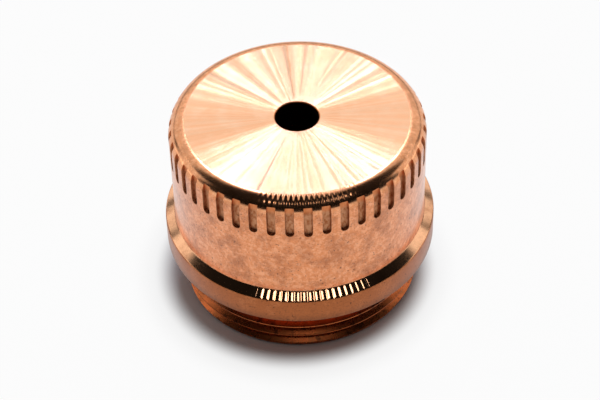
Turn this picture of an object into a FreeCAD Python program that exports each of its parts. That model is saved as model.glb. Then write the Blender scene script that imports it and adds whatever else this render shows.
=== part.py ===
import FreeCAD, Part
import os

import Sketcher

# A shield cap of a hand-held plasma cutting torch, turned from one copper bar.
# It stands on its rear rim: Z is the turning axis and points to the tip face, z = 0 is the rim,
# and the first flute faces -Y. Lengths are in millimetres and angles in degrees.
SHEET = "Sizes"
NODE = "shield_cap"
SIZES = [
    # outer turning
    ("overall_length", "18.1"),
    ("body_radius", "11.4"),
    ("tip_edge_radius", "1.46"),
    ("shoulder_rise", "0.6"),
    ("flange_radius", "12.28"),
    ("flange_thickness", "2.44"),
    ("flange_edge_break", "0.14"),
    # hollow
    ("front_wall", "2.7"),
    ("orifice_radius", "1.94"),
    ("orifice_edge_break", "0.1"),
    ("chamber_radius", "9.0"),
    ("chamber_corner_bevel", "0.5"),
    ("chamber_mouth_bevel", "0.4"),
    # blank of the rear thread, as large as the thread's crests
    ("thread_length", "4.86"),
    ("thread_radius", "10.8"),
    ("thread_start_bevel", "0.3"),
    # groove that the thread runs out into, its flank sloping up to the flange
    ("relief_width", "1.15"),
    ("relief_depth", "0.71"),
    ("relief_flank_angle", "30"),
    # flutes round the tip
    ("flute_count", "45"),
    ("flute_width", "0.72"),
    ("flute_depth", "0.3"),
    ("flute_reach", "3.6"),
    ("flute_cutter_overrun", "0.1"),
    ("land_above_flutes", "0.12"),
    # worked out from the sizes above
    ("relief_foot", "=thread_length - relief_width"),
    ("relief_radius", "=thread_radius - relief_depth"),
    ("relief_flank_foot", "=thread_length - relief_depth * tan(relief_flank_angle)"),
    ("flange_top", "=thread_length + flange_thickness"),
    ("body_foot", "=flange_top + shoulder_rise"),
    ("edge_foot", "=overall_length - tip_edge_radius"),
    ("face_radius", "=body_radius - tip_edge_radius"),
    ("flute_floor", "=body_radius - flute_depth"),
    ("seam_radius", "=flute_floor - land_above_flutes"),
    ("seam_height", "=edge_foot + sqrt(tip_edge_radius ^ 2 - (seam_radius - face_radius) ^ 2)"),
    ("chamber_end", "=overall_length - front_wall"),
    ("chamber_straight", "=chamber_end - chamber_corner_bevel"),
    ("chamber_end_radius", "=chamber_radius - chamber_corner_bevel"),
    ("flute_end_centre", "=overall_length - flute_reach + flute_width / 2"),
    ("above_tip", "=overall_length + flute_cutter_overrun"),
]
EDGE_TOLERANCE = 1e-4


def size(name):
    """The expression for a named size, or for zero."""
    return "0" if name == "0" else f"{SHEET}.{name}"


def value(doc, name):
    """The number that a named size has now."""
    return 0.0 if name == "0" else float(doc.getObject(SHEET).get(name))


def size_sheet(doc):
    """Writes every size to the sheet, each with its name as its alias."""
    sheet = doc.addObject("Spreadsheet::Sheet", SHEET)
    for row, (name, text) in enumerate(SIZES, start=1):
        sheet.set(f"A{row}", name)
        sheet.set(f"B{row}", text)
        sheet.setAlias(f"B{row}", name)
    doc.recompute()


def origin_feature(body, role):
    """An axis or plane of the body's own origin."""
    return next(item for item in body.Origin.OriginFeatures if item.Role == role)


def sketch_on(body, name, plane):
    """An empty sketch on one of the body's origin planes."""
    sketch = body.newObject("Sketcher::SketchObject", name)
    sketch.AttachmentSupport = [(origin_feature(body, plane), "")]
    sketch.MapMode = "FlatFace"
    return sketch


def dimension(sketch, kind, places, name):
    """A sketch dimension bound to a named size."""
    index = sketch.addConstraint(Sketcher.Constraint(kind, *places, value(sketch.Document, name)))
    sketch.setExpression(f"Constraints[{index}]", size(name))


def place_point(sketch, side, point, kind, name):
    """Holds a side's start (1) or centre (3) at a named distance across or up from the origin."""
    on_axis = {"DistanceX": -2, "DistanceY": -1}[kind]
    if name == "0":
        sketch.addConstraint(Sketcher.Constraint("PointOnObject", side, point, on_axis))
    else:
        dimension(sketch, kind, (-1, 1, side, point), name)


def circle_outline(sketch, radius):
    """A circle about the origin, of a named size."""
    middle = FreeCAD.Vector(0, 0, 0)
    normal = FreeCAD.Vector(0, 0, 1)
    circle = sketch.addGeometry(Part.Circle(middle, normal, value(sketch.Document, radius)), False)
    sketch.addConstraint(Sketcher.Constraint("Coincident", circle, 3, -1, 1))
    dimension(sketch, "Radius", (circle,), radius)


def arc_between(centre, spot, following):
    """The shorter arc about a centre, from one spot to the next."""
    outward = (spot - centre) + (following - centre)
    middle = centre + outward.normalize() * (spot - centre).Length
    return Part.Arc(spot, middle, following)


def outline(sketch, corners, arc_centres):
    """A closed outline through corners, each a pair of size names (across, up).

    A side whose number is in arc_centres is an arc about that pair and sets the height of its far end."""
    doc = sketch.Document
    places = {pair: FreeCAD.Vector(value(doc, pair[0]), value(doc, pair[1]), 0)
              for pair in corners + list(arc_centres.values())}
    sides = range(len(corners))
    for side in sides:
        spot = places[corners[side]]
        following = places[corners[(side + 1) % len(corners)]]
        if side in arc_centres:
            sketch.addGeometry(arc_between(places[arc_centres[side]], spot, following), False)
        else:
            sketch.addGeometry(Part.LineSegment(spot, following), False)
    for side in sides:
        across, up = corners[side]
        sketch.addConstraint(Sketcher.Constraint("Coincident", side, 2, (side + 1) % len(corners), 1))
        place_point(sketch, side, 1, "DistanceX", across)
        if side - 1 not in arc_centres:
            place_point(sketch, side, 1, "DistanceY", up)
    for side, (across, up) in arc_centres.items():
        place_point(sketch, side, 3, "DistanceX", across)
        place_point(sketch, side, 3, "DistanceY", up)


def flute_outline(sketch):
    """A flute seen from outside: straight sides, a half-round lower end and a lid above the tip face."""
    doc = sketch.Document
    half = value(doc, "flute_width") / 2
    centre = value(doc, "flute_end_centre")
    lid_height = value(doc, "above_tip")
    foot_left = FreeCAD.Vector(-half, centre, 0)
    foot_right = FreeCAD.Vector(half, centre, 0)
    lowest = FreeCAD.Vector(0, centre - half, 0)
    lid_left = FreeCAD.Vector(-half, lid_height, 0)
    lid_right = FreeCAD.Vector(half, lid_height, 0)
    end = sketch.addGeometry(Part.Arc(foot_left, lowest, foot_right), False)
    right = sketch.addGeometry(Part.LineSegment(foot_right, lid_right), False)
    lid = sketch.addGeometry(Part.LineSegment(lid_right, lid_left), False)
    left = sketch.addGeometry(Part.LineSegment(lid_left, foot_left), False)
    sketch.addConstraint([
        Sketcher.Constraint("Tangent", end, 2, right, 1),
        Sketcher.Constraint("Coincident", right, 2, lid, 1),
        Sketcher.Constraint("Coincident", lid, 2, left, 1),
        Sketcher.Constraint("Tangent", left, 2, end, 1),
        Sketcher.Constraint("Vertical", right),
        Sketcher.Constraint("Vertical", left),
        Sketcher.Constraint("Horizontal", lid),
        Sketcher.Constraint("PointOnObject", end, 3, -2),
    ])
    dimension(sketch, "DistanceX", (left, 2, right, 1), "flute_width")
    dimension(sketch, "DistanceY", (-1, 1, end, 3), "flute_end_centre")
    dimension(sketch, "DistanceY", (-1, 1, lid, 1), "above_tip")


def turned(body, kind, name, corners, arc_centres=None):
    """A turned solid (Revolution) or a turned cut (Groove) from its half section."""
    sketch = sketch_on(body, f"{name}_section", "XZ_Plane")
    outline(sketch, corners, arc_centres or {})
    feature = body.newObject(f"PartDesign::{kind}", name)
    feature.Profile = sketch
    feature.ReferenceAxis = (sketch, ["V_Axis"])
    feature.Angle = 360
    body.Document.recompute()


def cut_through(body, name, sketch):
    """A pocket through all the metal on the side that the sketch's normal points to."""
    pocket = body.newObject("PartDesign::Pocket", name)
    pocket.Profile = sketch
    pocket.Type = "ThroughAll"
    pocket.Reversed = True
    body.Document.recompute()
    return pocket


def circular_edge(feature, radius, height):
    """The name of the feature's full circle of that radius at that height."""
    for index, edge in enumerate(feature.Shape.Edges, start=1):
        if not isinstance(edge.Curve, Part.Circle):
            continue
        misfit = max(abs(edge.Curve.Radius - radius), abs(edge.Curve.Center.z - height))
        if misfit < EDGE_TOLERANCE:
            return f"Edge{index}"
    raise ValueError(f"{feature.Name} has no edge of radius {radius} at height {height}")


def bevel(body, name, circles, width):
    """A bevel of one width along circular edges, each a pair of size names (radius, height)."""
    doc = body.Document
    base = body.Tip
    edges = [circular_edge(base, value(doc, radius), value(doc, height)) for radius, height in circles]
    feature = body.newObject("PartDesign::Chamfer", name)
    feature.Base = (base, edges)
    feature.setExpression("Size", size(width))
    doc.recompute()


def outer_form(body):
    """The bar turned outside: thread blank, run-out groove, flange, sloping shoulder and round-edged body.

    The round edge is two arcs about one centre, and the flutes cut only the lower one."""
    corners = [
        ("0", "0"),
        ("thread_radius", "0"),
        ("thread_radius", "relief_foot"),
        ("relief_radius", "relief_foot"),
        ("relief_radius", "relief_flank_foot"),
        ("thread_radius", "thread_length"),
        ("flange_radius", "thread_length"),
        ("flange_radius", "flange_top"),
        ("body_radius", "body_foot"),
        ("body_radius", "edge_foot"),
        ("seam_radius", "seam_height"),
        ("face_radius", "overall_length"),
        ("0", "overall_length"),
    ]
    lower_arc = corners.index(("body_radius", "edge_foot"))
    edge_centre = ("face_radius", "edge_foot")
    arc_centres = {lower_arc: edge_centre, lower_arc + 1: edge_centre}
    turned(body, "Revolution", "outer_turning", corners, arc_centres)
    flange_corners = [("flange_radius", "thread_length"), ("flange_radius", "flange_top")]
    bevel(body, "flange_edges", flange_corners, "flange_edge_break")
    bevel(body, "thread_start", [("thread_radius", "0")], "thread_start_bevel")


def hollow(body):
    """The chamber that goes over the torch tip."""
    turned(body, "Groove", "chamber", [
        ("0", "0"),
        ("chamber_radius", "0"),
        ("chamber_radius", "chamber_straight"),
        ("chamber_end_radius", "chamber_end"),
        ("0", "chamber_end"),
    ])
    bevel(body, "chamber_mouth", [("chamber_radius", "0")], "chamber_mouth_bevel")


def orifice(body):
    """The hole in the front wall that the plasma jet and its shield gas leave by."""
    sketch = sketch_on(body, "orifice_section", "XY_Plane")
    circle_outline(sketch, "orifice_radius")
    cut_through(body, "orifice", sketch)
    bevel(body, "orifice_edge", [("orifice_radius", "overall_length")], "orifice_edge_break")


def flutes(body):
    """Shallow round-ended grooves round the tip, which run out into its rounded edge."""
    sketch = sketch_on(body, "flute_section", "XZ_Plane")
    sketch.setExpression("AttachmentOffset.Base.z", size("flute_floor"))
    flute_outline(sketch)
    flute = cut_through(body, "flute", sketch)
    ring = body.newObject("PartDesign::PolarPattern", "flutes")
    ring.Originals = [flute]
    ring.Axis = (origin_feature(body, "Z_Axis"), [""])
    ring.Angle = 360
    ring.setExpression("Occurrences", size("flute_count"))
    body.Tip = ring
    body.Document.recompute()


def shield_cap(doc):
    """The whole cap, one solid."""
    body = doc.addObject("PartDesign::Body", NODE)
    body.Label = NODE
    body.Placement = FreeCAD.Placement()
    outer_form(body)
    hollow(body)
    orifice(body)
    flutes(body)
    return body


def check(doc, body):
    """Stops if a feature failed or the finished solid isn't whole."""
    failed = [item.Name for item in doc.Objects if {"Invalid", "Error"} & set(item.State)]
    if failed:
        raise RuntimeError(f"failed: {failed}")
    if body.Shape.isNull() or not body.Shape.isValid() or len(body.Shape.Solids) != 1:
        raise RuntimeError(f"{body.Label} isn't one valid solid")


def main():
    doc = FreeCAD.newDocument("plasma_torch_shield_cap")
    size_sheet(doc)
    cap = shield_cap(doc)
    doc.recompute()
    check(doc, cap)
    os.makedirs("parts", exist_ok=True)
    cap.Shape.exportStep(os.path.join("parts", f"{cap.Label}.step"))
    print(f"{cap.Label}: {cap.Shape.Volume:.1f} cubic mm, {len(cap.Shape.Faces)} faces")


main()
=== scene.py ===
import math

import bmesh
import bpy
from mathutils import Matrix, Vector


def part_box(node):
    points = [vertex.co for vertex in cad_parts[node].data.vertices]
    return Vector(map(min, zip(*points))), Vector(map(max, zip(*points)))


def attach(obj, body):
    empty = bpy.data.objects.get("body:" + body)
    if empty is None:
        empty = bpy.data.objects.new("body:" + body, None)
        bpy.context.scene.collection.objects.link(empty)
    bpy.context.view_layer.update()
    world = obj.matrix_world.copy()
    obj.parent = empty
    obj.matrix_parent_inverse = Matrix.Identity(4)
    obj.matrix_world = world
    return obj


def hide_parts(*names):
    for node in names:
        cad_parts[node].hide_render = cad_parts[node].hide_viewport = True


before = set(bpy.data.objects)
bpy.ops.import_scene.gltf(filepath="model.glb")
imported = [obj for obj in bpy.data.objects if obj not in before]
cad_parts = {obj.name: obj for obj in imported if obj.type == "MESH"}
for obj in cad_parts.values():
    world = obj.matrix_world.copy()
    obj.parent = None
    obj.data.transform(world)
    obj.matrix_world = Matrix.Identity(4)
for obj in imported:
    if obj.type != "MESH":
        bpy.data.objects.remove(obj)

bl_info = {
    "name": "Plasma torch shield cap",
    "version": (1, 0, 0),
    "blender": (4, 5, 0),
    "location": "3D View > Sidebar > Shield cap",
    "description": "A turned copper shield cap of a plasma torch, in the studio it is seen in",
    "category": "Object",
}

NODE = "shield_cap"
BODY = "root"
CAP_NAME = "turned_shield_cap"
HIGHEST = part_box(NODE)[1]

# finishes of the metal, in the order of the cap's material slots
TURNED, FACED, MILLED, SHOULDER, THREADED, BORED = range(6)

# the flutes round the whole tip
FLUTES = 45

# how finely the mesh follows the round forms, with its rings and bands in metres
TILE_COLUMNS = 24
PLAIN_COLUMNS = 360
FLOOR_COLUMNS = 10
MOUTH_STEPS = 4
GROWTH_LOOPS = 7
WALL_ROWS = 5
EDGE_ROWS = 6
TIP_ROWS = 8
FACE_RINGS = (0.003, 0.0045, 0.0062, 0.0078, 0.0091)
END_WALL_RING = 0.0016
FLANGE_BAND = 0.0003
MERGE_DISTANCE = 1e-7
SHARP_ANGLE = math.radians(38)

# the net of points round a flute: how far down it reaches, in half widths, and its loops' spread
NET_FOOT = 2.2
NET_SPREAD = 1.3

# the middle of a rounded edge, as a share of its radius
MIDDLE_OF_ROUND = 0.3

# the thread's flank, half of its 60 degree form, and the easing of its corners in metres
THREAD_FLANK = math.radians(30)
THREAD_EASE = 0.00002

FRONT = math.radians(-90)
QUARTER_TURN = math.pi / 2

# where the tool chattered, as angles from the front
CHATTER_MIDDLE = math.radians(10)
CHATTER_REACH = math.radians(23.5)
CHATTER_FADE = math.radians(3)

# how many ripples a whole turn would hold, on the shoulder and on the tip's edge
CHATTER_WAVES = 135
EDGE_WAVES = 150

# how near to the shoulder's slope a point is rippled, in metres
CHATTER_NEAR = 0.00003

# the studio in metres: the floor's flat part and curled rim, the lamps' distance, the camera's shift
FLOOR_REACH = 2.6
FLOOR_BEND = 0.4
FLOOR_SIDES = 96
LAMP_DISTANCE = 1.6
EYE_ASIDE = 0.00005

# the middle of the shadow painted round the cap's foot, set off to the front left, and the rings of glow
# that turn the floor white round it: near radius, far radius, share
PAINTED_SHADOW_MIDDLE = (-0.0005, -0.0005, 0.0)
WHITE_RINGS = ((0.0109, 0.0134, 0.82), (0.0118, 0.0158, 0.14), (0.1, 0.8, 0.04))
LOOKING_RAYS = ("Is Camera Ray", "Is Glossy Ray", "Is Transmission Ray")


def distance(name, description, default):
    """A length in metres that a user may change."""
    return bpy.props.FloatProperty(
        name=name,
        description=description,
        default=default,
        min=0.0,
        precision=5,
        subtype="DISTANCE",
        unit="LENGTH",
    )


def degrees(name, description, default):
    """An angle that a user may change, given in degrees."""
    return bpy.props.FloatProperty(
        name=name,
        description=description,
        default=math.radians(default),
        subtype="ANGLE",
        unit="ROTATION",
    )


def colour(name, description, default):
    """A colour that a user may change."""
    return bpy.props.FloatVectorProperty(
        name=name,
        description=description,
        default=default,
        size=3,
        min=0.0,
        max=1.0,
        subtype="COLOR",
    )


class ShieldCapSizes(bpy.types.PropertyGroup):
    """The cap's sizes, which are those of its solid, and the sizes of the detail on it."""

    overall_length: distance("Overall length", "From the rear rim to the tip face", HIGHEST.z)
    body_radius: distance("Body radius", "Radius of the smooth body", 0.0114)
    tip_edge_radius: distance("Tip edge radius", "Rounding between body and tip face", 0.00146)
    body_foot: distance("Body foot", "Height at which the sloping shoulder meets the body", 0.0079)
    foot_fillet: distance("Foot fillet", "Small fillet between shoulder and body", 0.00012)
    flange_radius: distance("Flange radius", "Largest radius", HIGHEST.x)
    flange_top: distance("Flange top", "Height of the flange's upper edge", 0.0073)
    flange_foot: distance("Flange foot", "Height of the flange's seat", 0.00486)
    flange_edge: distance("Flange edge", "Rounding of the flange's edges", 0.00014)
    chatter_height: distance("Chatter height", "Height of the tool chatter on the shoulder", 0.000023)
    orifice_radius: distance("Orifice radius", "Hole that the jet leaves by", 0.00194)
    orifice_edge: distance("Orifice edge", "Rounding of the orifice's edge", 0.0001)
    chamber_radius: distance("Chamber radius", "Radius of the hollow", 0.009)
    chamber_corner: distance("Chamber corner", "Bevel in the hollow's corner", 0.0005)
    chamber_end: distance("Chamber end", "Height of the hollow's end wall", 0.0154)
    mouth_bevel: distance("Mouth bevel", "Bevel of the hollow's mouth", 0.0004)
    thread_radius: distance("Thread radius", "Radius over the thread's crests", 0.0108)
    thread_pitch: distance("Thread pitch", "Rise of the thread in one turn", 0.001058)
    thread_depth: distance("Thread depth", "Depth of the thread's groove", 0.000649)
    thread_bevel: distance("Thread bevel", "Bevel where the thread starts at the rim", 0.0003)
    thread_phase: distance("Thread phase", "Height of a groove's middle at the front", 0.0009)
    relief_radius: distance("Relief radius", "Radius of the run-out groove over the thread", 0.01009)
    relief_foot: distance("Relief foot", "Height at which the thread runs out", 0.00371)
    relief_flank: distance("Relief flank", "Height of the groove's flank under the flange", 0.00041)
    flute_width: distance("Flute width", "Width of one flute round the tip", 0.00072)
    flute_floor: distance("Flute floor", "Distance of a flute's flat floor from the axis", 0.0111)
    flute_centre: distance("Flute end", "Height of the centre of a flute's round end", 0.01486)
    flute_edge: distance("Flute edge", "Rounding of a flute's edges", 0.00003)
    flute_unevenness: distance("Flute unevenness", "How far the flutes' round ends wander", 0.00006)


class ShieldCapFinish(bpy.types.PropertyGroup):
    """The cap's colours."""

    # copper is also painted over the tip's rounded edge as a highlight
    copper: colour("Copper", "Clean copper of the tip face", (0.97, 0.51, 0.28))
    pale_copper: colour("Pale copper", "Palest patches of the tip face", (0.98, 0.66, 0.45))
    side_copper: colour("Side copper", "Turned copper of the body", (0.72, 0.25, 0.09))
    rose_copper: colour("Rose copper", "Pink patches of the body", (0.86, 0.37, 0.18))
    # brown copper: tarnished patches, and also the painted shade of the whole flange band
    brown_copper: colour("Brown copper", "Tarnished patches", (0.36, 0.11, 0.035))
    # speck: pits and specks, and also painted shade inside the orifice and along the flange's seat
    speck: colour("Speck", "Pits and specks", (0.08, 0.03, 0.015))
    flute_floor: colour("Flute floor", "Matt floors of the flutes", (0.56, 0.27, 0.14))
    # the thread's copper is darker than the body's, as painted shade under the flange
    thread: colour("Thread", "Dull red copper of the thread", (0.60, 0.14, 0.04))


class ShieldCapStudio(bpy.types.PropertyGroup):
    """The camera's place and the studio round the cap."""

    turn: degrees("Turn", "Turn of camera and lamps about the cap's axis", 4.5)
    eye_back: distance("Eye distance", "Camera's distance in front of the axis", 0.1203)
    eye_rise: distance("Eye height", "Camera's height over the tip face", 0.1049)
    pitch: degrees("Pitch", "How far the camera looks down", 43.73)
    roll: degrees("Roll", "How far the camera leans to its side", 1.70)
    lens: bpy.props.FloatProperty(
        name="Lens",
        description="Focal length on a sensor 36 mm wide",
        default=109.1,
        min=1.0,
        subtype="DISTANCE_CAMERA",
        unit="CAMERA",
    )
    floor: colour("Floor", "Pale floor", (0.60, 0.60, 0.60))


class Skin:
    """Faces gathered row by row, each with the number of its finish."""

    def __init__(self):
        self.points = []
        self.faces = []
        self.finishes = []

    def row(self, points):
        """Adds points and gives their numbers."""
        start = len(self.points)
        self.points.extend(points)
        return list(range(start, len(self.points)))

    def face(self, corners, finish):
        self.faces.append(corners)
        self.finishes.append(finish)

    def strip(self, row, following, finish, closed=False):
        """Four-sided faces between two rows of as many points."""
        count = len(row)
        for index in range(count if closed else count - 1):
            after = (index + 1) % count
            self.face((row[index], row[after], following[after], following[index]), finish)

    def strips(self, rows, finish, closed=False):
        for row, following in zip(rows, rows[1:]):
            self.strip(row, following, finish, closed)

    def widen(self, few, many, finish):
        """Faces between a closed row and one with a whole number of times as many points."""
        times = len(many) // len(few)
        for index, corner in enumerate(few):
            following = few[(index + 1) % len(few)]
            spots = [many[(index * times + step) % len(many)] for step in range(times + 1)]
            half = times // 2
            for step in range(half):
                self.face((corner, spots[step], spots[step + 1]), finish)
            self.face((corner, spots[half], spots[half + 1], following), finish)
            for step in range(half + 1, times):
                self.face((following, spots[step], spots[step + 1]), finish)

    def mesh(self, name):
        """The gathered faces as a mesh, with their finishes as a face attribute."""
        mesh = bpy.data.meshes.new(name)
        mesh.from_pydata(self.points, [], self.faces)
        finish = mesh.attributes.new("finish", "INT", "FACE")
        finish.data.foreach_set("value", self.finishes)
        return mesh


def spot(angle, radius, height):
    """A point at an angle about the axis, counted from the front."""
    return Vector((
        radius * math.cos(FRONT + angle),
        radius * math.sin(FRONT + angle),
        height,
    ))


def blend(low, high, share):
    return low + (high - low) * share


def arc(centre, radius, start, end, steps=4):
    """Places on an arc between two angles, each a radius and a height; angle 0 points outwards."""
    turns = [blend(start, end, step / steps) for step in range(steps + 1)]
    return [(centre[0] + radius * math.cos(turn), centre[1] + radius * math.sin(turn)) for turn in turns]


def ease(share):
    """A smooth step from 0 to 1."""
    held = min(max(share, 0.0), 1.0)
    return held * held * (3 - 2 * held)


class FluteTile:
    """The part of the cap from the flange's upper edge to the tip face that holds one flute."""

    def __init__(self, sizes):
        self.sizes = sizes
        self.skin = Skin()
        self.reach = {}
        self.half_tile = math.pi / FLUTES
        self.half = sizes.flute_width / 2
        self.edge_foot = sizes.overall_length - sizes.tip_edge_radius
        self.face_radius = sizes.body_radius - sizes.tip_edge_radius
        self.bottom = sizes.flute_centre - NET_FOOT * self.half

    def outer_radius(self, height):
        """Radius of the unfluted skin at a height on the body or its rounded edge."""
        if height <= self.edge_foot:
            return self.sizes.body_radius
        rise = min(height - self.edge_foot, self.sizes.tip_edge_radius)
        return self.face_radius + math.sqrt(self.sizes.tip_edge_radius ** 2 - rise ** 2)

    def height_of(self, radius):
        """Height at which the rounded edge has that radius."""
        across = radius - self.face_radius
        return self.edge_foot + math.sqrt(self.sizes.tip_edge_radius ** 2 - across ** 2)

    def on_skin(self, angle, height):
        return spot(angle, self.outer_radius(height), height)

    def at_side(self, side, depth, height):
        """A point at a distance to the side of the flute's middle and a depth before the axis."""
        return Vector((side, -depth, height))

    def run_out(self, side):
        """Height at which the floor meets the rounded edge, at a distance to the side."""
        return self.height_of(math.hypot(self.sizes.flute_floor, side))

    def stations(self):
        """Places round the flute's outline: side, height, way outwards and the tile's edge there."""
        sizes = self.sizes
        top = self.run_out(self.half)
        top_angle = math.asin((top - self.edge_foot) / sizes.tip_edge_radius)
        heights = [
            self.edge_foot + sizes.tip_edge_radius * math.sin(top_angle * (1 - step / EDGE_ROWS))
            for step in range(EDGE_ROWS)
        ]
        heights += [
            blend(self.edge_foot, sizes.flute_centre, step / WALL_ROWS)
            for step in range(WALL_ROWS)
        ]
        left = [(-self.half, height, (-1, 0), (-self.half_tile, height)) for height in heights]
        right = [(self.half, height, (1, 0), (self.half_tile, height)) for height in reversed(heights)]
        steps = TILE_COLUMNS + 2 * MOUTH_STEPS
        end = []
        for step in range(steps + 1):
            turn = math.pi * (1 + step / steps)
            out = (math.cos(turn), math.sin(turn))
            if step < MOUTH_STEPS:
                border = (-self.half_tile, blend(sizes.flute_centre, self.bottom, step / MOUTH_STEPS))
            elif step > steps - MOUTH_STEPS:
                border = (
                    self.half_tile,
                    blend(sizes.flute_centre, self.bottom, (steps - step) / MOUTH_STEPS),
                )
            else:
                across = (step - MOUTH_STEPS) / TILE_COLUMNS
                border = (blend(-self.half_tile, self.half_tile, across), self.bottom)
            place = (self.half * out[0], sizes.flute_centre + self.half * out[1])
            end.append((place[0], place[1], out, border))
        return left + end + right

    def note_reach(self, indices, share):
        """How much of the flutes' wandering these points take."""
        for index in indices:
            height = self.skin.points[index].z
            falling = 1 - ease((height - self.sizes.flute_centre) / (2 * self.sizes.flute_width))
            self.reach[index] = share * falling

    def flute(self):
        """Floor, walls and rounded edges of the flute, and the skin round it."""
        sizes = self.sizes
        stations = self.stations()
        floor_line = []
        loops = [[] for _ in range(3 + GROWTH_LOOPS)]
        for side, height, out, border in stations:
            depth = math.sqrt(self.outer_radius(height) ** 2 - side ** 2)
            edge = min(sizes.flute_edge, max(depth - sizes.flute_floor, 0.0) / 2)
            floor_line.append(self.at_side(side, sizes.flute_floor, height))
            loops[0].append(self.at_side(side, depth - edge, height))
            inset = edge * MIDDLE_OF_ROUND
            mid = (side + out[0] * inset, height + out[1] * inset)
            mid_depth = math.sqrt(self.outer_radius(mid[1]) ** 2 - mid[0] ** 2)
            loops[1].append(self.at_side(mid[0], mid_depth - inset, mid[1]))
            start = (side + out[0] * edge, height + out[1] * edge)
            start_angle = math.asin(start[0] / self.outer_radius(start[1]))
            for step in range(GROWTH_LOOPS + 1):
                share = (step / GROWTH_LOOPS) ** NET_SPREAD
                angle = blend(start_angle, border[0], share)
                loops[2 + step].append(self.on_skin(angle, blend(start[1], border[1], share)))
        floor_row = self.skin.row(floor_line)
        rows = [self.skin.row(loop) for loop in loops]
        self.skin.strips([floor_row] + rows[:3], MILLED)
        self.skin.strips(rows[2:], TURNED)
        self.note_reach(floor_row, 1.0)
        for number, row in enumerate(rows):
            self.note_reach(row, 1 - ease((number - 2) / GROWTH_LOOPS))
        self.floor(floor_row)
        top = [row[0] for row in reversed(rows[2:])]
        across = self.floor_top
        self.tip([*top, *across[1:-1], *[row[-1] for row in rows[2:]]])
        lowest = rows[-1][EDGE_ROWS + WALL_ROWS + MOUTH_STEPS:]
        return lowest[:TILE_COLUMNS + 1]

    def floor(self, outline):
        """The flat floor, as rows across it and one face in its round end."""
        rows = EDGE_ROWS + WALL_ROWS
        ladder = []
        for step in range(rows + 1):
            left = outline[step]
            right = outline[len(outline) - 1 - step]
            height = self.skin.points[left].z
            between = []
            for column in range(1, FLOOR_COLUMNS):
                side = blend(-self.half, self.half, column / FLOOR_COLUMNS)
                level = self.run_out(side) if step == 0 else height
                between.append(self.at_side(side, self.sizes.flute_floor, level))
            middle = self.skin.row(between)
            self.note_reach(middle, 1.0)
            ladder.append([left, *middle, right])
        self.skin.strips(ladder, MILLED)
        round_end = outline[rows:len(outline) - rows]
        self.skin.face((*reversed(ladder[-1][1:-1]), *round_end), MILLED)
        self.floor_top = ladder[0]

    def tip(self, first):
        """The rounded edge over the flute, up to the tip face."""
        sizes = self.sizes
        points = [self.skin.points[index] for index in first]
        angles = [math.atan2(point.x, -point.y) for point in points]
        rises = [(point.z - self.edge_foot) / sizes.tip_edge_radius for point in points]
        turns = [math.asin(min(rise, 1)) for rise in rises]
        rows = [first]
        for step in range(1, TIP_ROWS + 1):
            share = step / TIP_ROWS
            line = []
            for column, (angle, turn) in enumerate(zip(angles, turns)):
                even = blend(-self.half_tile, self.half_tile, column / (len(first) - 1))
                lifted = blend(turn, QUARTER_TURN, share)
                radius = self.face_radius + sizes.tip_edge_radius * math.cos(lifted)
                height = self.edge_foot + sizes.tip_edge_radius * math.sin(lifted)
                line.append(spot(blend(angle, even, ease(share)), radius, height))
            rows.append(self.skin.row(line))
        self.skin.strips(rows, TURNED)

    def below(self, top_row):
        """Body, foot fillet, chattered shoulder and the flange's upper edge."""
        sizes = self.sizes
        angles = [
            blend(-self.half_tile, self.half_tile, step / TILE_COLUMNS)
            for step in range(TILE_COLUMNS + 1)
        ]
        rise = sizes.body_foot - sizes.flange_top
        run = sizes.flange_radius - sizes.body_radius
        slope = math.atan2(rise, run)
        bend = QUARTER_TURN - slope
        set_back = sizes.foot_fillet * math.tan(bend / 2)
        fillet_centre = (sizes.body_radius + sizes.foot_fillet, sizes.body_foot + set_back)
        body = [(sizes.body_radius, blend(self.bottom, fillet_centre[1], share)) for share in (0.5, 1.0)]
        fillet = arc(fillet_centre, sizes.foot_fillet, math.pi, math.pi + bend)[1:]
        set_in = sizes.flange_edge * math.tan(bend / 2)
        edge_centre = (sizes.flange_radius - sizes.flange_edge, sizes.flange_top - set_in)
        edge = arc(edge_centre, sizes.flange_edge, bend, 0.0)
        inner = fillet[-1]
        outer = edge[0]
        cone = [
            (blend(inner[0], outer[0], share), blend(inner[1], outer[1], share))
            for share in (0.06, 0.14, 0.5, 0.86, 0.94)
        ]
        rows = [top_row]
        for radius, height in body + fillet:
            rows.append(self.skin.row([spot(angle, radius, height) for angle in angles]))
        self.skin.strips(rows, TURNED)
        slope_rows = [rows[-1]]
        for radius, height in cone + [edge[0]]:
            slope_rows.append(self.skin.row([spot(angle, radius, height) for angle in angles]))
        self.skin.strips(slope_rows, SHOULDER)
        edge_rows = [slope_rows[-1]]
        for place in edge[1:]:
            edge_rows.append(self.skin.row([spot(angle, *place) for angle in angles]))
        self.skin.strips(edge_rows, TURNED)
        self.lowest_place = edge[-1]

    def build(self):
        """The tile's mesh, with the flutes' wandering as a point attribute."""
        self.below(self.flute())
        mesh = self.skin.mesh("flute_tile")
        reach = mesh.attributes.new("reach", "FLOAT", "POINT")
        shares = [self.reach.get(index, 0.0) for index in range(len(self.skin.points))]
        reach.data.foreach_set("value", shares)
        return mesh


class Wire:
    """The output of a node, so that the maths of a material reads as an expression."""

    def __init__(self, tree, socket):
        self.tree = tree
        self.socket = socket

    def maths(self, operation, *values):
        return self.tree.maths(operation, *values)

    def __add__(self, other):
        return self.maths("ADD", self, other)

    def __radd__(self, other):
        return self.maths("ADD", other, self)

    def __sub__(self, other):
        return self.maths("SUBTRACT", self, other)

    def __rsub__(self, other):
        return self.maths("SUBTRACT", other, self)

    def __mul__(self, other):
        return self.maths("MULTIPLY", self, other)

    def __truediv__(self, other):
        return self.maths("DIVIDE", self, other)

    def between(self, low, high):
        """0 up to low, 1 from high on, and smooth between them."""
        settings = {"interpolation_type": "SMOOTHSTEP"}
        inputs = {"Value": self, "From Min": low, "From Max": high}
        return self.tree.node("ShaderNodeMapRange", settings, inputs)


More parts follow.
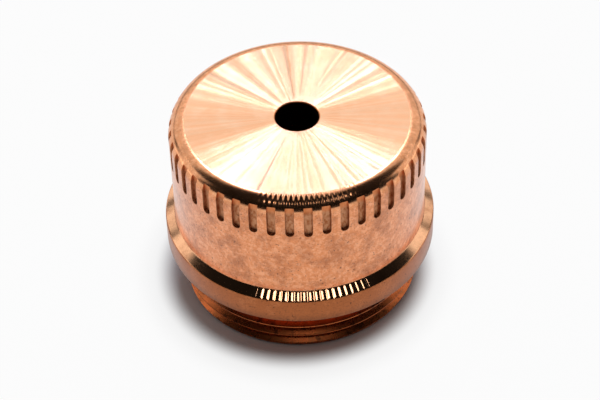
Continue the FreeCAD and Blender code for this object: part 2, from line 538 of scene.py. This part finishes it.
class NodeTree:
    """Adds nodes to a tree of shader or geometry nodes."""

    def __init__(self, tree):
        self.tree = tree

    def node(self, kind, settings=None, inputs=None, output=0):
        """A node of a kind: its settings first, then the values or links of its sockets."""
        node = self.tree.nodes.new(kind)
        for name, setting in (settings or {}).items():
            setattr(node, name, setting)
        for name, given in (inputs or {}).items():
            self.feed(node.inputs[name], given)
        return Wire(self, node.outputs[output])

    def feed(self, socket, given):
        if isinstance(given, Wire):
            self.tree.links.new(given.socket, socket)
        else:
            socket.default_value = given

    def maths(self, operation, *values):
        return self.node("ShaderNodeMath", {"operation": operation}, dict(enumerate(values)))

    def vector(self, operation, *values, output=0, **named):
        """Vector Math."""
        inputs = dict(enumerate(values))
        inputs.update(named)
        return self.node("ShaderNodeVectorMath", {"operation": operation}, inputs, output)

    def mix(self, share, first, second):
        """A colour between two."""
        return self.node("ShaderNodeMix", {"data_type": "RGBA"}, {0: share, 6: first, 7: second}, 2)

    def noise(self, place, scale, detail=2.0, roughness=0.5):
        inputs = {"Vector": place, "Scale": scale, "Detail": detail, "Roughness": roughness}
        return self.node("ShaderNodeTexNoise", {"noise_dimensions": "3D"}, inputs)


def paint(shade):
    """A colour with its alpha."""
    return (shade[0], shade[1], shade[2], 1.0)


class Finish(NodeTree):
    """A copper finish: its nodes work in millimetres about the cap's axis."""

    def __init__(self, name, anisotropic, seed):
        material = bpy.data.materials.new(name)
        material.use_nodes = True
        super().__init__(material.node_tree)
        self.material = material
        self.shader = next(node for node in self.tree.nodes if node.type == "BSDF_PRINCIPLED")
        self.shader.inputs["Metallic"].default_value = 1.0
        self.shader.inputs["Anisotropic"].default_value = anisotropic
        self.shader.inputs["Anisotropic Rotation"].default_value = 0.25
        object_place = self.node("ShaderNodeTexCoord", output=3)
        self.place = self.vector("SCALE", object_place, Scale=1000.0)
        self.shifted = self.vector("ADD", self.place, (seed, 2 * seed, 3 * seed))
        flat = self.vector("MULTIPLY", self.place, (1.0, 1.0, 0.0))
        self.radius = self.vector("LENGTH", flat, output=1)
        self.outward = self.vector("NORMALIZE", flat)
        self.sideways = self.vector("CROSS_PRODUCT", (0.0, 0.0, 1.0), self.outward)
        split = {0: self.place}
        self.height = self.node("ShaderNodeSeparateXYZ", inputs=split, output=2)
        across = self.node("ShaderNodeSeparateXYZ", inputs=split, output=0)
        back = self.node("ShaderNodeSeparateXYZ", inputs=split, output=1)
        self.angle = self.maths("ARCTAN2", across, 0.0 - back)

    def specks(self, scale, low, high):
        """1 in small pits, 0 elsewhere."""
        wander = self.noise(self.shifted, scale, 3.0, 0.6)
        return wander.between(low, high)

    def patches(self, scale):
        return self.noise(self.shifted, scale, 4.0, 0.62)

    def set(self, **sockets):
        """Feeds the shader's sockets and gives the material."""
        names = {
            "colour": "Base Color",
            "roughness": "Roughness",
            "normal": "Normal",
            "coat": "Coat Weight",
        }
        for name, given in sockets.items():
            self.feed(self.shader.inputs[names[name]], given)
        return self.material

    def bump(self, height, strength, reach, **named):
        inputs = {"Strength": strength, "Distance": reach, "Height": height}
        inputs.update(named)
        return self.node("ShaderNodeBump", {}, inputs)

    def leaned(self, sideways, outwards):
        """The normal, leaned round the axis and away from it."""
        normal = self.node("ShaderNodeNewGeometry", output=1)
        normal = self.vector("ADD", normal, self.vector("SCALE", self.sideways, Scale=sideways))
        normal = self.vector("ADD", normal, self.vector("SCALE", self.outward, Scale=outwards))
        return self.vector("NORMALIZE", normal)


def turned_copper(finish):
    """Turned copper: mottled and pitted, painted brown over the flange as shade and darker still towards
    its seat, paler on the tip's rounded edge as a painted highlight, rippled on the tip's edge at the
    front.
    """
    work = Finish("turned_copper", 0.0, 3.1)
    patches = work.patches(0.6)
    mottle = work.noise(work.shifted, 2.6, 4.0, 0.7)
    grain = work.noise(work.shifted, 7.0, 3.0, 0.7)
    shade = work.mix(mottle.between(0.42, 0.62), paint(finish.side_copper), paint(finish.rose_copper))
    on_flange = 1 - work.height.between(7.2, 7.5)
    # tarnished patches and grain at random, and brown over the whole flange band as painted shade
    tarnish_and_flange_shade = patches.between(0.42, 0.68) * 0.6 + grain.between(0.5, 0.72) * 0.6 + on_flange * 0.9
    shade = work.mix(tarnish_and_flange_shade, shade, paint(finish.brown_copper))
    # painted shade: the flange band darker towards its seat; dark specks of grain over the band at random
    seat_shade_and_flange_specks = (1 - work.height.between(4.9, 5.9)) * 0.4 + on_flange * grain.between(0.45, 0.7) * 0.35
    shade = work.mix(seat_shade_and_flange_specks, shade, paint(finish.speck))
    on_edge = work.height.between(16.7, 17.3)
    # painted highlight: the tip's rounded edge is made paler, towards the face's copper
    shade = work.mix(on_edge * (0.15 + mottle * 0.5), shade, paint(finish.copper))
    pits = work.specks(4.2, 0.63, 0.71) * (1 - on_edge)
    shade = work.mix(pits * 0.85, shade, paint(finish.speck))
    from_middle = work.maths("ABSOLUTE", work.angle - CHATTER_MIDDLE)
    chattered = 1 - from_middle.between(CHATTER_REACH * 0.4, CHATTER_REACH * 1.2)
    ripple = work.maths("SINE", work.angle * EDGE_WAVES) * chattered * (0.4 + grain)
    leaned = work.leaned(
        ripple * work.height.between(17.5, 17.7) * 0.5,
        ripple * work.height.between(17.90, 18.02) * 0.25,
    )
    lines = work.noise(work.vector("MULTIPLY", work.shifted, (0.3, 0.3, 9.0)), 1.0, 2.0)
    roughness = 0.28 + patches * 0.10 + pits * 0.2 - on_edge * 0.12
    height = lines * 0.3 + grain * 0.7 * (1 - on_edge) - pits
    work.shader.inputs["Coat Roughness"].default_value = 0.2
    coat = 0.6 - on_edge * 0.6 - on_flange * 0.6
    normal = work.bump(height, 0.3, 0.00002, Normal=leaned)
    return work.set(colour=shade, roughness=roughness, normal=normal, coat=coat)


def faced_copper(finish):
    """The tip face: rings left by the facing tool, and wedges of chatter that spread from the centre."""
    work = Finish("faced_copper", 1.0, 5.3)
    broad = work.noise(work.vector("SCALE", work.outward, Scale=6.0), 1.0, 1.0)
    fine = work.noise(work.vector("SCALE", work.outward, Scale=20.0), 1.0, 2.0)
    wedges = work.noise(work.vector("SCALE", work.outward, Scale=10.0), 1.0, 1.0)
    rings = work.noise(work.vector("SCALE", (1.0, 0.3, 0.2), Scale=work.radius * 37.0), 1.0, 1.0)
    patches = work.patches(0.5)
    pits = work.specks(2.2, 0.74, 0.8)
    pale = patches.between(0.4, 0.8) * 0.4 + fine.between(0.4, 0.65) * 0.3
    shade = work.mix(pale, paint(finish.copper), paint(finish.pale_copper))
    shade = work.mix(pits, shade, paint(finish.speck))
    lean = (broad - 0.5) * 0.04 + (fine - 0.5) * 0.04
    tilt = 0.04 + (rings - 0.5) * 0.3 + (fine - 0.5) * 0.35 + (wedges - 0.5) * 0.9
    return work.set(colour=shade, roughness=0.26 + pits * 0.2, normal=work.leaned(lean, tilt))


def milled_copper(finish):
    """The flutes' matt floors, brown and streaked, and clean where they run out into the tip's edge."""
    work = Finish("milled_copper", 0.0, 7.7)
    streaks = work.noise(work.vector("MULTIPLY", work.shifted, (4.0, 4.0, 2.0)), 1.0, 3.0, 0.6)
    shade = work.mix(streaks.between(0.35, 0.7), paint(finish.flute_floor), paint(finish.brown_copper))
    shade = work.mix(work.specks(3.0, 0.62, 0.74) * 0.7, shade, paint(finish.speck))
    shade = work.mix(work.height.between(16.7, 17.2) * 0.75, shade, paint(finish.side_copper))
    return work.set(colour=shade, roughness=0.42 + streaks * 0.2, normal=work.bump(streaks, 0.4, 0.00003))


def chattered_copper(finish):
    """The shoulder, bright from the tool, whose chatter is in the mesh."""
    work = Finish("chattered_copper", 0.0, 9.1)
    patches = work.patches(0.7)
    shade = work.mix(patches.between(0.4, 0.8) * 0.6, paint(finish.copper), paint(finish.brown_copper))
    return work.set(colour=shade, roughness=0.09 + patches * 0.08)


def threaded_copper(finish):
    """Thread and run-out groove, dull and red, darker than the body as painted shade under the flange."""
    work = Finish("threaded_copper", 0.0, 11.9)
    patches = work.patches(0.8)
    shade = work.mix(patches.between(0.35, 0.75), paint(finish.thread), paint(finish.brown_copper))
    shade = work.mix(work.patches(1.3).between(0.52, 0.68) * 0.8, shade, paint(finish.speck))
    return work.set(colour=shade, roughness=0.20 + patches * 0.16)


def bored_copper(finish):
    """The hollow, turned and left plain, and the orifice, painted dark inside as shade."""
    work = Finish("bored_copper", 0.35, 13.7)
    patches = work.patches(0.4)
    lines = work.noise(work.vector("MULTIPLY", work.shifted, (0.2, 0.2, 7.0)), 1.0, 2.0)
    shade = work.mix(patches.between(0.3, 0.8), paint(finish.side_copper), paint(finish.brown_copper))
    # painted shade: the orifice's wall is turned near black
    orifice_painted_shade = work.height.between(15.2, 15.5) * (1 - work.height.between(17.97, 18.02))
    shade = work.mix(orifice_painted_shade * 0.95, shade, paint(finish.speck))
    return work.set(colour=shade, roughness=0.22 + patches * 0.15, normal=work.bump(lines, 0.2, 0.00003))


def flute_ring_tree():
    """Geometry nodes that repeat the tile about the axis and let the flutes' ends wander."""
    tree = bpy.data.node_groups.new("flute_ring", "GeometryNodeTree")
    inputs = {
        "Tile": "NodeSocketGeometry",
        "Count": "NodeSocketInt",
        "Unevenness": "NodeSocketFloat",
        "Seed": "NodeSocketInt",
        "Finish": "NodeSocketMaterial",
    }
    for name, kind in inputs.items():
        tree.interface.new_socket(name, in_out="INPUT", socket_type=kind)
    tree.interface.new_socket("Ring", in_out="OUTPUT", socket_type="NodeSocketGeometry")
    work = NodeTree(tree)
    entry = tree.nodes.new("NodeGroupInput")
    given = {name: Wire(work, entry.outputs[name]) for name in inputs}
    points = work.node("GeometryNodePoints", inputs={"Count": given["Count"]})
    spread = {2: -1.0, 3: 1.0, 8: given["Seed"]}
    wander = work.node("FunctionNodeRandomValue", {"data_type": "FLOAT"}, spread, 1)
    marked = work.node(
        "GeometryNodeStoreNamedAttribute",
        {"data_type": "FLOAT", "domain": "POINT"},
        {"Geometry": points, "Name": "wander", "Value": wander * given["Unevenness"]},
    )
    index = work.node("GeometryNodeInputIndex")
    turn = work.node("ShaderNodeCombineXYZ", inputs={"Z": index * (2 * math.pi) / given["Count"]})
    placed = work.node(
        "GeometryNodeInstanceOnPoints",
        inputs={"Points": marked, "Instance": given["Tile"], "Rotation": turn},
    )
    real = work.node("GeometryNodeRealizeInstances", inputs={"Geometry": placed})
    reach = work.node("GeometryNodeInputNamedAttribute", {"data_type": "FLOAT"}, {"Name": "reach"})
    own = work.node("GeometryNodeInputNamedAttribute", {"data_type": "FLOAT"}, {"Name": "wander"})
    shift = work.node("ShaderNodeCombineXYZ", inputs={"Z": reach * own})
    moved = work.node("GeometryNodeSetPosition", inputs={"Geometry": real, "Offset": shift})
    ring = work.node("GeometryNodeSetMaterial", inputs={"Geometry": moved, "Material": given["Finish"]})
    leave = tree.nodes.new("NodeGroupOutput")
    work.feed(leave.inputs["Ring"], ring)
    return tree


def flute_ring(sizes, tile, material):
    """The tile repeated round the cap, as a plain mesh."""
    carrier = bpy.data.objects.new("flute_ring", tile)
    bpy.context.scene.collection.objects.link(carrier)
    tree = flute_ring_tree()
    modifier = carrier.modifiers.new("flute_ring", "NODES")
    modifier.node_group = tree
    settings = {
        "Count": FLUTES,
        "Unevenness": sizes.flute_unevenness,
        "Seed": 4,
        "Finish": material,
    }
    for item in tree.interface.items_tree:
        if item.in_out == "INPUT" and item.name in settings:
            modifier[item.identifier] = settings[item.name]
    evaluated = carrier.evaluated_get(bpy.context.evaluated_depsgraph_get())
    mesh = bpy.data.meshes.new_from_object(evaluated)
    carrier.modifiers.remove(modifier)
    bpy.data.objects.remove(carrier)
    return mesh


class TurnedParts:
    """The lathe work that doesn't repeat: flange, thread, rim, hollow, orifice and tip face."""

    def __init__(self, sizes, lowest_place):
        self.sizes = sizes
        self.skin = Skin()
        self.start = -math.pi / FLUTES
        self.lowest_place = lowest_place

    def ring(self, radius, height, count=PLAIN_COLUMNS):
        step = 2 * math.pi / count
        return self.skin.row([spot(self.start + index * step, radius, height) for index in range(count)])

    def rings(self, places, finish, first):
        """Rings through places, each a radius and a height, from an earlier ring on."""
        rows = [first] + [self.ring(radius, height) for radius, height in places]
        self.skin.strips(rows, finish, closed=True)
        return rows[-1]

    def groove_radius(self, turn, height):
        """Radius of the threaded skin at a turn from the start and a height."""
        sizes = self.sizes
        offset = (height - self.groove_middle(turn)) / sizes.thread_pitch
        offset -= round(offset)
        place = abs(offset) * sizes.thread_pitch
        corners = self.half_profile()
        for (near, low), (far, high) in zip(corners, corners[1:]):
            if place <= far:
                return blend(low, high, (place - near) / (far - near))
        return sizes.thread_radius

    def groove_middle(self, turn):
        sizes = self.sizes
        return sizes.thread_phase + sizes.thread_pitch * turn / (2 * math.pi)

    def half_profile(self):
        """Half of one thread groove: distance from its middle and radius, with eased corners."""
        sizes = self.sizes
        root = sizes.thread_radius - sizes.thread_depth
        root_half = sizes.thread_pitch / 12
        crest_start = root_half + sizes.thread_depth * math.tan(THREAD_FLANK)
        step_up = THREAD_EASE / math.tan(THREAD_FLANK)
        return [
            (0.0, root),
            (root_half - THREAD_EASE, root),
            (root_half + THREAD_EASE, root + step_up),
            (crest_start - THREAD_EASE, sizes.thread_radius - step_up),
            (crest_start + THREAD_EASE, sizes.thread_radius),
            (sizes.thread_pitch / 2, sizes.thread_radius),
        ]

    def thread(self):
        """The threaded skin between rim bevel and run-out, and its first and last row."""
        sizes = self.sizes
        low = sizes.thread_bevel
        high = sizes.relief_foot
        inner = [place for place, _ in self.half_profile()[1:-1]]
        offsets = [-place for place in reversed(inner)] + inner
        turns = range(-2, math.ceil(high / sizes.thread_pitch) + 1)
        columns = []
        for index in range(PLAIN_COLUMNS + 1):
            turn = 2 * math.pi * index / PLAIN_COLUMNS
            heights = [
                self.groove_middle(turn) + number * sizes.thread_pitch + offset
                for number in turns
                for offset in offsets
            ]
            held = [low] + [min(max(height, low), high) for height in heights] + [high]
            columns.append([
                spot(self.start + turn, self.groove_radius(turn, height), height) for height in held
            ])
        rows = [self.skin.row(list(line)) for line in zip(*columns)]
        self.skin.strips(rows, THREADED)
        return rows[0][:-1], rows[-1][:-1]

    def build(self):
        sizes = self.sizes
        fine = self.ring(*self.lowest_place, FLUTES * TILE_COLUMNS)
        edge = sizes.flange_edge
        band_top = self.ring(sizes.flange_radius, self.lowest_place[1] - FLANGE_BAND)
        self.skin.widen(band_top, fine, TURNED)
        edge_centre = (sizes.flange_radius - edge, sizes.flange_foot + edge)
        rounding = arc(edge_centre, edge, 0.0, -QUARTER_TURN)
        seat = self.rings(rounding, TURNED, band_top)
        low_row, high_row = self.thread()
        flank_foot = sizes.flange_foot - sizes.relief_flank
        relief = [
            (sizes.thread_radius, sizes.flange_foot),
            (sizes.relief_radius, flank_foot),
            (sizes.relief_radius, blend(flank_foot, sizes.relief_foot, 0.5)),
            (sizes.relief_radius, sizes.relief_foot),
        ]
        relief_end = self.rings(relief, THREADED, seat)
        self.skin.strip(relief_end, high_row, THREADED, closed=True)
        bevelled = []
        for share in (0.5, 0.0):
            height = sizes.thread_bevel * share
            limit = sizes.thread_radius - sizes.thread_bevel + height
            line = []
            for index in range(PLAIN_COLUMNS):
                turn = 2 * math.pi * index / PLAIN_COLUMNS
                radius = min(self.groove_radius(turn, height), limit)
                line.append(spot(self.start + turn, radius, height))
            bevelled.append(self.skin.row(line))
        self.skin.strips([low_row] + bevelled, THREADED, closed=True)
        hollow = [
            (sizes.chamber_radius + sizes.mouth_bevel, 0.0),
            (sizes.chamber_radius, sizes.mouth_bevel),
            (sizes.chamber_radius, sizes.chamber_end * 0.5),
            (sizes.chamber_radius, sizes.chamber_end - sizes.chamber_corner),
            (sizes.chamber_radius - sizes.chamber_corner, sizes.chamber_end),
            (sizes.orifice_radius + END_WALL_RING, sizes.chamber_end),
            (sizes.orifice_radius, sizes.chamber_end),
            (sizes.orifice_radius, blend(sizes.chamber_end, sizes.overall_length, 0.5)),
        ]
        rim = self.rings(hollow[:1], THREADED, bevelled[-1])
        inner = self.rings(hollow[1:], BORED, rim)
        edge = sizes.orifice_edge
        edge_centre = (sizes.orifice_radius + edge, sizes.overall_length - edge)
        lip = arc(edge_centre, edge, math.pi, QUARTER_TURN)
        lip_end = self.rings(lip, BORED, inner)
        face_radius = sizes.body_radius - sizes.tip_edge_radius
        face = [(radius, sizes.overall_length) for radius in FACE_RINGS]
        last = self.rings(face, FACED, lip_end)
        outside = self.ring(face_radius, sizes.overall_length, FLUTES * TILE_COLUMNS)
        self.skin.widen(last, outside, FACED)
        return self.skin.mesh("lathe_work")


def chatter(mesh, sizes):
    """Ripples that the tool left across the shoulder, in one stretch near the front."""
    slope = math.atan2(sizes.body_foot - sizes.flange_top, sizes.flange_radius - sizes.body_radius)
    for vertex in mesh.vertices:
        radius = math.hypot(vertex.co.x, vertex.co.y)
        across = (radius - sizes.body_radius) / (sizes.flange_radius - sizes.body_radius)
        level = blend(sizes.body_foot, sizes.flange_top, across)
        if not 0.05 < across < 0.97 or abs(vertex.co.z - level) > CHATTER_NEAR:
            continue
        angle = math.atan2(vertex.co.x, -vertex.co.y)
        from_middle = abs(angle - CHATTER_MIDDLE)
        share = 1 - ease((from_middle - CHATTER_REACH) / CHATTER_FADE)
        share *= ease(min(across, 1 - across) * 8)
        phase = CHATTER_WAVES * angle / (2 * math.pi)
        lift = sizes.chatter_height * share * (1 - 8 * (phase - round(phase)) ** 2)
        outward = Vector((vertex.co.x, vertex.co.y, 0.0)).normalized()
        vertex.co += lift * (math.sin(slope) * outward + Vector((0.0, 0.0, math.cos(slope))))


def joined_mesh(meshes, name):
    """One closed mesh from several whose borders meet, facing outwards."""
    work = bmesh.new()
    for mesh in meshes:
        work.from_mesh(mesh)
    bmesh.ops.remove_doubles(work, verts=work.verts, dist=MERGE_DISTANCE)
    bmesh.ops.dissolve_degenerate(work, edges=work.edges, dist=MERGE_DISTANCE)
    bmesh.ops.recalc_face_normals(work, faces=work.faces)
    open_edges = [edge for edge in work.edges if len(edge.link_faces) != 2]
    if open_edges:
        corners = [edge.verts[0].co * 1000 for edge in open_edges[:6]]
        raise RuntimeError(f"{len(open_edges)} open edges, such as at {corners} mm")
    mesh = bpy.data.meshes.new(name)
    work.to_mesh(mesh)
    work.free()
    return mesh


class OBJECT_OT_shield_cap(bpy.types.Operator):
    """Builds the cap: one piece of turned copper"""

    bl_idname = "object.shield_cap"
    bl_label = "Build the shield cap"

    def execute(self, context):
        sizes = context.scene.shield_cap_sizes
        finish = context.scene.shield_cap_finish
        makers = (
            turned_copper, faced_copper, milled_copper, chattered_copper, threaded_copper, bored_copper,
        )
        materials = [maker(finish) for maker in makers]
        tile = FluteTile(sizes)
        ring = flute_ring(sizes, tile.build(), materials[TURNED])
        lathe = TurnedParts(sizes, tile.lowest_place).build()
        mesh = joined_mesh([ring, lathe], CAP_NAME)
        chatter(mesh, sizes)
        for material in materials:
            mesh.materials.append(material)
        finishes = [item.value for item in mesh.attributes["finish"].data]
        mesh.polygons.foreach_set("material_index", finishes)
        for name in ("finish", "reach", "wander"):
            if name in mesh.attributes:
                mesh.attributes.remove(mesh.attributes[name])
        mesh.shade_smooth()
        mesh.set_sharp_from_angle(angle=SHARP_ANGLE)
        cap = bpy.data.objects.new(CAP_NAME, mesh)
        context.scene.collection.objects.link(cap)
        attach(cap, BODY)
        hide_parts(NODE)
        return {"FINISHED"}


def turned_about_axis(angle):
    return Matrix.Rotation(angle, 3, "Z")


def soft_box(name, ends, width, radiance, shade, turn):
    """A lamp that faces the cap, stretched between two directions and as bright as its radiance says."""
    first, last = (turned_about_axis(turn) @ Vector(end).normalized() for end in ends)
    towards = (first + last).normalized()
    along = (last - first).normalized()
    across = towards.cross(along)
    lamp = bpy.data.lights.new(name, "AREA")
    lamp.shape = "RECTANGLE"
    lamp.size = LAMP_DISTANCE * 2 * math.tan(first.angle(last) / 2)
    lamp.size_y = LAMP_DISTANCE * 2 * math.tan(width / 2)
    lamp.energy = radiance * math.pi * lamp.size * lamp.size_y
    lamp.color = shade
    box = bpy.data.objects.new(name, lamp)
    axes = Matrix((along, across, towards)).transposed()
    box.matrix_world = Matrix.Translation(towards * LAMP_DISTANCE) @ axes.to_4x4()
    bpy.context.scene.collection.objects.link(box)


class OBJECT_OT_shield_cap_stage(bpy.types.Operator):
    """Sets up the pale floor, the soft lamps and the camera"""

    bl_idname = "object.shield_cap_stage"
    bl_label = "Set the stage"

    def execute(self, context):
        studio = context.scene.shield_cap_studio
        sizes = context.scene.shield_cap_sizes
        self.floor(studio)
        self.lamps(studio)
        self.world(context)
        self.camera(context, studio, sizes)
        context.scene.view_settings.view_transform = "Standard"
        return {"FINISHED"}

    def floor(self, studio):
        """A wide pale floor that curves up to a low rim all round."""
        skin = Skin()
        places = [(radius, 0.0) for radius in (0.02, 0.2, 1.0)]
        places += arc((FLOOR_REACH, FLOOR_BEND), FLOOR_BEND, -QUARTER_TURN, 0.0, 8)
        side = 2 * math.pi / FLOOR_SIDES
        rows = [
            skin.row([spot(index * side, radius, height) for index in range(FLOOR_SIDES)])
            for radius, height in places
        ]
        skin.strips(rows, 0, closed=True)
        skin.face(tuple(reversed(rows[0])), 0)
        mesh = skin.mesh("studio_floor")
        mesh.shade_smooth()
        material = self.pale_floor(studio)
        mesh.materials.append(material)
        floor = bpy.data.objects.new("studio_floor", mesh)
        bpy.context.scene.collection.objects.link(floor)

    def pale_floor(self, studio):
        """Matt and pale, lit by the lamps and made white by a glow to every ray that looks at it; the
        glow is left out round the cap's foot, a painted shadow over the lamps' own shadow there.
        """
        material = bpy.data.materials.new("pale_floor")
        material.use_nodes = True
        work = NodeTree(material.node_tree)
        shader = next(node for node in work.tree.nodes if node.type == "BSDF_PRINCIPLED")
        shader.inputs["Base Color"].default_value = paint(studio.floor)
        shader.inputs["Roughness"].default_value = 0.9
        shader.inputs["Specular IOR Level"].default_value = 0.0
        place = work.node("ShaderNodeTexCoord", output=3)
        away = work.vector("DISTANCE", place, PAINTED_SHADOW_MIDDLE, output=1)
        # the rings leave the glow out round the cap's foot: a painted shadow
        foot, fade, far = (away.between(low, high) * share for low, high, share in WHITE_RINGS)
        white = foot + fade + far
        looked_at = [work.node("ShaderNodeLightPath", output=name) for name in LOOKING_RAYS]
        seen = looked_at[0] + looked_at[1] + looked_at[2]
        glow = work.node("ShaderNodeEmission", inputs={"Color": (1.0, 1.0, 1.0, 1.0), "Strength": 1.0})
        lit = Wire(work, shader.outputs[0])
        both = work.node("ShaderNodeMixShader", inputs={0: white * seen, 1: lit, 2: glow})
        surface = next(node for node in work.tree.nodes if node.type == "OUTPUT_MATERIAL")
        work.feed(surface.inputs["Surface"], both)
        return material

    def lamps(self, studio):
        """Walls of light behind and beside the cap, three small lamps high behind it, one in front."""
        plain = (1.0, 1.0, 1.0)
        cool = (0.92, 0.98, 1.30)
        # each lamp: its name, the directions of its ends, its width in degrees, radiance and shade
        lamps = (
            ("back_wall", ((-0.80, 0.50, 0.42), (0.80, 0.50, 0.42)), 50, 0.95, plain),
            ("left_wall", ((-0.82, 0.46, 0.30), (-0.95, -0.02, 0.30)), 34, 1.04, plain),
            ("right_wall", ((0.82, 0.46, 0.30), (0.95, -0.02, 0.30)), 34, 1.0, plain),
            ("back_box", ((-0.15, 0.60, 0.786), (0.15, 0.60, 0.786)), 6, 10.5, cool),
            ("left_strip", ((-0.075, 0.68, 0.729), (-0.165, 0.60, 0.783)), 3, 15.0, cool),
            ("right_strip", ((0.08, 0.69, 0.72), (0.18, 0.61, 0.772)), 3, 15.0, cool),
            ("front_lamp", ((-0.15, -0.45, 0.88), (0.18, -0.45, 0.875)), 6, 4.8, plain),
        )
        for name, ends, width, radiance, shade in lamps:
            soft_box(name, ends, math.radians(width), radiance, shade, studio.turn)

    def world(self, context):
        world = bpy.data.worlds.new("dark_studio")
        world.use_nodes = True
        background = next(node for node in world.node_tree.nodes if node.type == "BACKGROUND")
        background.inputs["Color"].default_value = (1.0, 1.0, 1.0, 1.0)
        background.inputs["Strength"].default_value = 0.008
        context.scene.world = world

    def camera(self, context, studio, sizes):
        """The photograph's view: from the front, over the tip face."""
        lens = bpy.data.cameras.new("camera")
        lens.lens = studio.lens
        lens.sensor_width = 36.0
        lens.clip_start = 0.005
        lens.clip_end = 20.0
        forward = Vector((0.0, math.cos(studio.pitch), -math.sin(studio.pitch)))
        level = Vector((1.0, 0.0, 0.0))
        upright = level.cross(forward)
        right = math.cos(studio.roll) * level - math.sin(studio.roll) * upright
        up = math.sin(studio.roll) * level + math.cos(studio.roll) * upright
        turn = turned_about_axis(studio.turn)
        axes = turn @ Matrix((right, up, -forward)).transposed()
        eye = turn @ Vector((EYE_ASIDE, -studio.eye_back, sizes.overall_length + studio.eye_rise))
        camera = bpy.data.objects.new("camera", lens)
        camera.matrix_world = Matrix.Translation(eye) @ axes.to_4x4()
        context.scene.collection.objects.link(camera)
        context.scene.camera = camera


class VIEW3D_PT_shield_cap(bpy.types.Panel):
    """Buttons and sizes of the shield cap"""

    bl_idname = "VIEW3D_PT_shield_cap"
    bl_label = "Shield cap"
    bl_space_type = "VIEW_3D"
    bl_region_type = "UI"
    bl_category = "Shield cap"

    def draw(self, context):
        layout = self.layout
        for operator in OPERATORS:
            layout.operator(operator.bl_idname)
        for group in GROUPS:
            box = layout.box()
            settings = getattr(context.scene, group)
            for name in settings.__annotations__:
                box.prop(settings, name)


GROUPS = {
    "shield_cap_sizes": ShieldCapSizes,
    "shield_cap_finish": ShieldCapFinish,
    "shield_cap_studio": ShieldCapStudio,
}
OPERATORS = (OBJECT_OT_shield_cap, OBJECT_OT_shield_cap_stage)
CLASSES = (*GROUPS.values(), *OPERATORS, VIEW3D_PT_shield_cap)


def register():
    for kind in CLASSES:
        bpy.utils.register_class(kind)
    for name, kind in GROUPS.items():
        setattr(bpy.types.Scene, name, bpy.props.PointerProperty(type=kind))


def unregister():
    for name in GROUPS:
        delattr(bpy.types.Scene, name)
    for kind in reversed(CLASSES):
        bpy.utils.unregister_class(kind)


def main():
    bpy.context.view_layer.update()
    register()
    bpy.ops.object.shield_cap()
    bpy.ops.object.shield_cap_stage()


if __name__ == "__main__":
    main()
